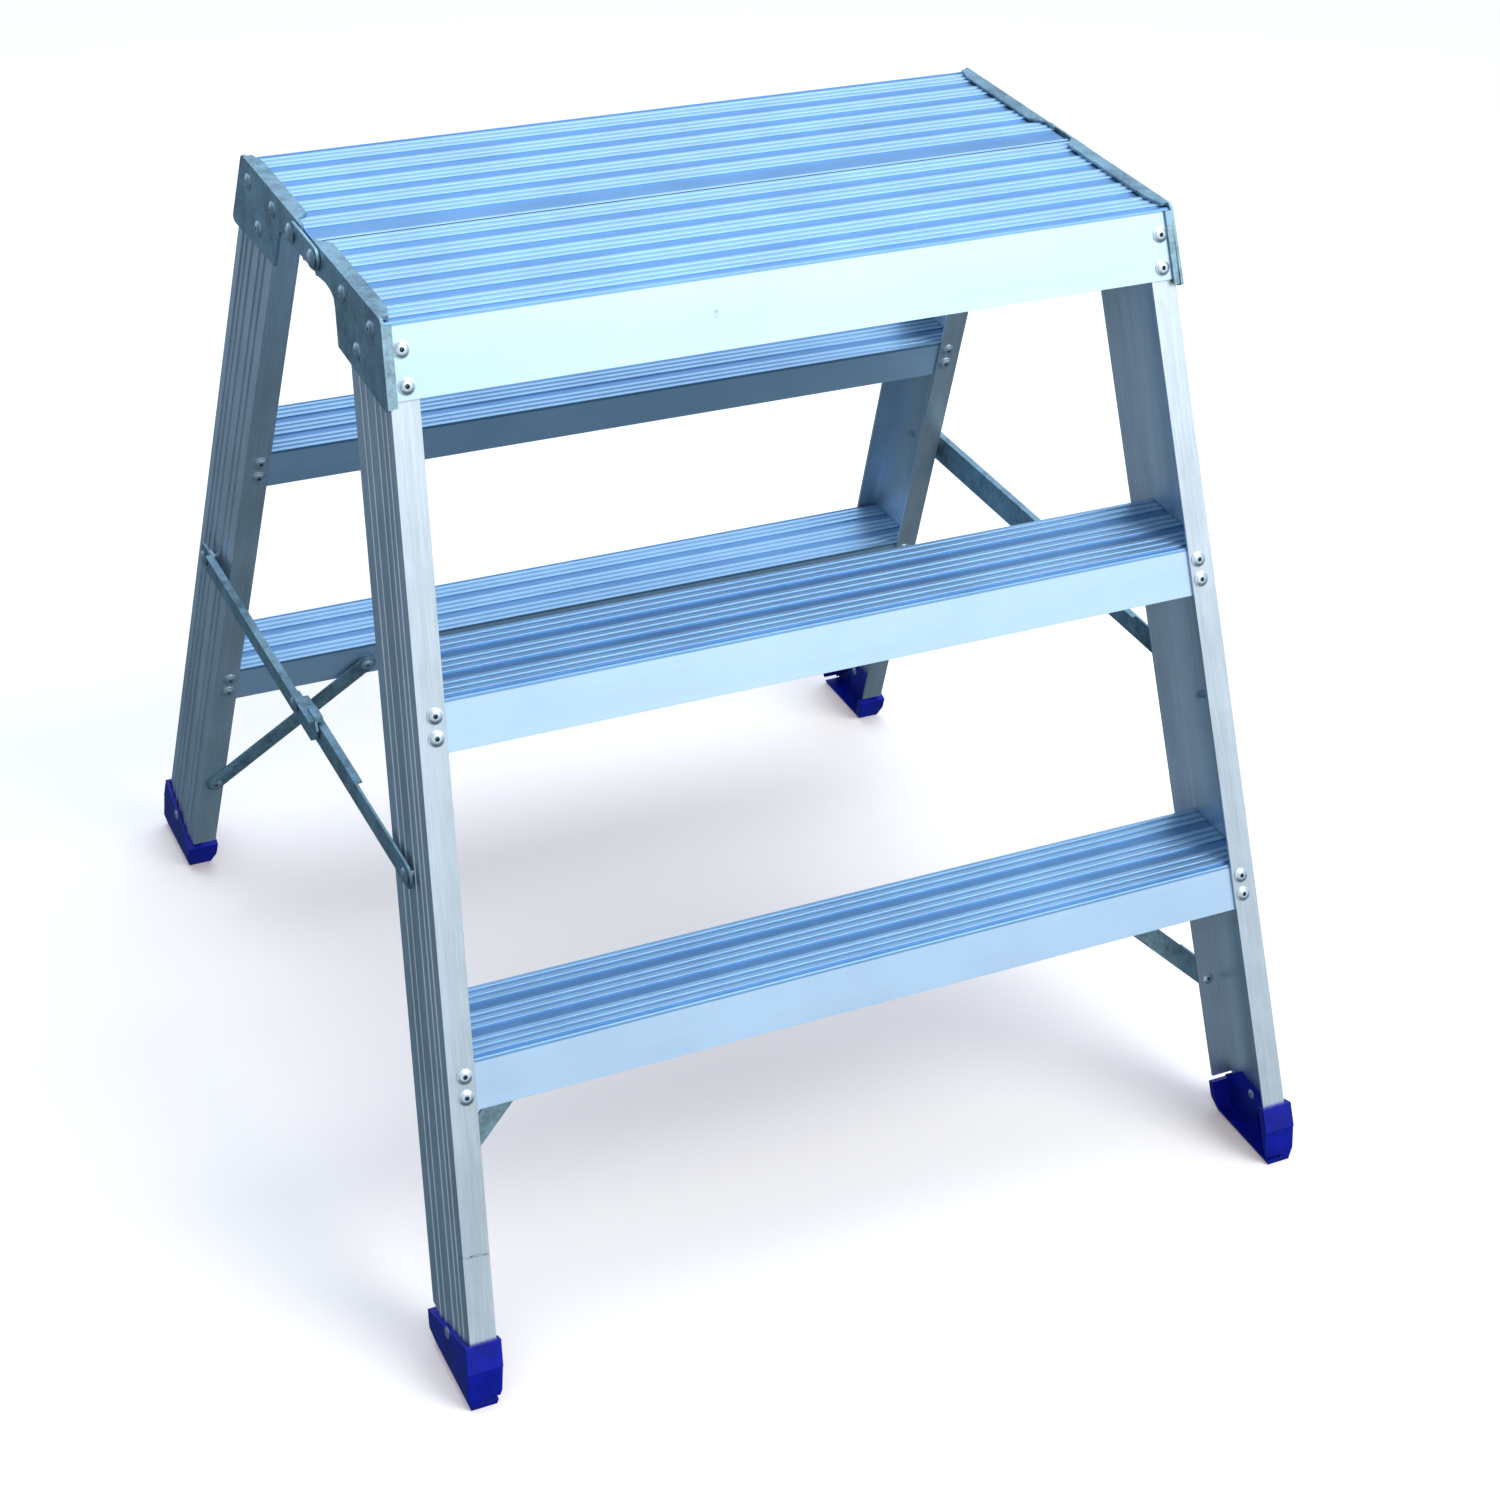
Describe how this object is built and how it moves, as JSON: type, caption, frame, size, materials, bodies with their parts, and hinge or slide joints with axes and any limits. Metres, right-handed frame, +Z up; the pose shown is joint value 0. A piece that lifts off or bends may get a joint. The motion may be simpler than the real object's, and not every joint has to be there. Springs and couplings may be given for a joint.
{
  "type": "step ladder",
  "caption": "Double-sided folding step ladder: splayed channel frames with ribbed treads, hinged under a split ribbed platform, with side spreaders, knee braces and moulded feet.",
  "frame": {"origin": "on the floor under the middle of the platform, between the feet", "axes": "+X along the platform to the right, seen from the front; the front frame stands towards -Y; +Z up"},
  "size_m": [0.7084, 0.819, 0.727],
  "materials": {
    "stile": "extruded aluminium, mill finish, ribbed lengthwise",
    "platform": "extruded aluminium, mill finish, ribbed",
    "tread": "extruded aluminium, mill finish, ribbed",
    "gusset": "pressed zinc-plated steel, satin",
    "hinge_link": "zinc-plated steel bar, satin",
    "spreader": "zinc-plated steel, mottled",
    "knee_brace": "zinc-plated steel bar, satin",
    "rivet": "domed rivet heads, bright",
    "foot": "moulded plastic, satin"
  },
  "bodies": {
    "rear_frame": {"stile_rear_left": "stile", "stile_rear_right": "stile", "platform_rear": "platform", "tread_middle_rear": "tread", "tread_lower_rear": "tread", "gusset_rear_left": "gusset", "gusset_rear_right": "gusset", "knee_brace_rear_left": "knee_brace", "knee_brace_rear_right": "knee_brace", "foot_rear_left": "foot", "foot_rear_right": "foot", "hinge_pin_rear_left": "rivet", "hinge_pin_rear_right": "rivet", "pivot_rear_left": "rivet", "pivot_rear_right": "rivet"},
    "hinge_links": {"hinge_link_left": "hinge_link", "hinge_link_right": "hinge_link"},
    "front_frame": {"stile_front_left": "stile", "stile_front_right": "stile", "platform_front": "platform", "tread_middle_front": "tread", "tread_lower_front": "tread", "gusset_front_left": "gusset", "gusset_front_right": "gusset", "knee_brace_front_left": "knee_brace", "knee_brace_front_right": "knee_brace", "foot_front_left": "foot", "foot_front_right": "foot", "hinge_pin_front_left": "rivet", "hinge_pin_front_right": "rivet", "pivot_front_left": "rivet", "pivot_front_right": "rivet"},
    "rear_arm_left": {"spreader_rear_left": "spreader", "pivot_mid_left": "rivet"},
    "front_arm_left": {"spreader_front_left": "spreader", "pivot_tail_left": "rivet"},
    "rear_arm_right": {"spreader_rear_right": "spreader", "pivot_mid_right": "rivet"},
    "front_arm_right": {"spreader_front_right": "spreader", "pivot_tail_right": "rivet"}
  },
  "joints": [
    {"name": "link_swing", "type": "hinge", "parent": "rear_frame", "child": "hinge_links", "pos_m": [0, 0.0245, 0.7175], "axis": [1, 0, 0], "range_deg": [0, 19.95]},
    {"name": "front_frame_swing", "type": "hinge", "parent": "hinge_links", "child": "front_frame", "pos_m": [0, -0.0245, 0.7175], "axis": [1, 0, 0], "range_deg": [0, 19.95]},
    {"name": "rear_arm_left_swing", "type": "hinge", "parent": "rear_frame", "child": "rear_arm_left", "pos_m": [0, 0.24651, 0.357], "axis": [1, 0, 0], "range_deg": [-43.46, 0]},
    {"name": "front_arm_left_swing", "type": "hinge", "parent": "front_frame", "child": "front_arm_left", "pos_m": [0, -0.24651, 0.357], "axis": [1, 0, 0], "range_deg": [0, 43.46]},
    {"name": "rear_arm_right_swing", "type": "hinge", "parent": "rear_frame", "child": "rear_arm_right", "pos_m": [0, 0.24651, 0.357], "axis": [1, 0, 0], "range_deg": [-43.46, 0]},
    {"name": "front_arm_right_swing", "type": "hinge", "parent": "front_frame", "child": "front_arm_right", "pos_m": [0, -0.24651, 0.357], "axis": [1, 0, 0], "range_deg": [0, 43.46]}
  ],
  "couplings": [
    {"joint": "front_frame_swing", "follows": "link_swing", "ratio": 1},
    {"joint": "rear_arm_left_swing", "follows": "link_swing", "ratio": -2.178},
    {"joint": "front_arm_left_swing", "follows": "link_swing", "ratio": 2.178},
    {"joint": "rear_arm_right_swing", "follows": "link_swing", "ratio": -2.178},
    {"joint": "front_arm_right_swing", "follows": "link_swing", "ratio": 2.178}
  ]
}
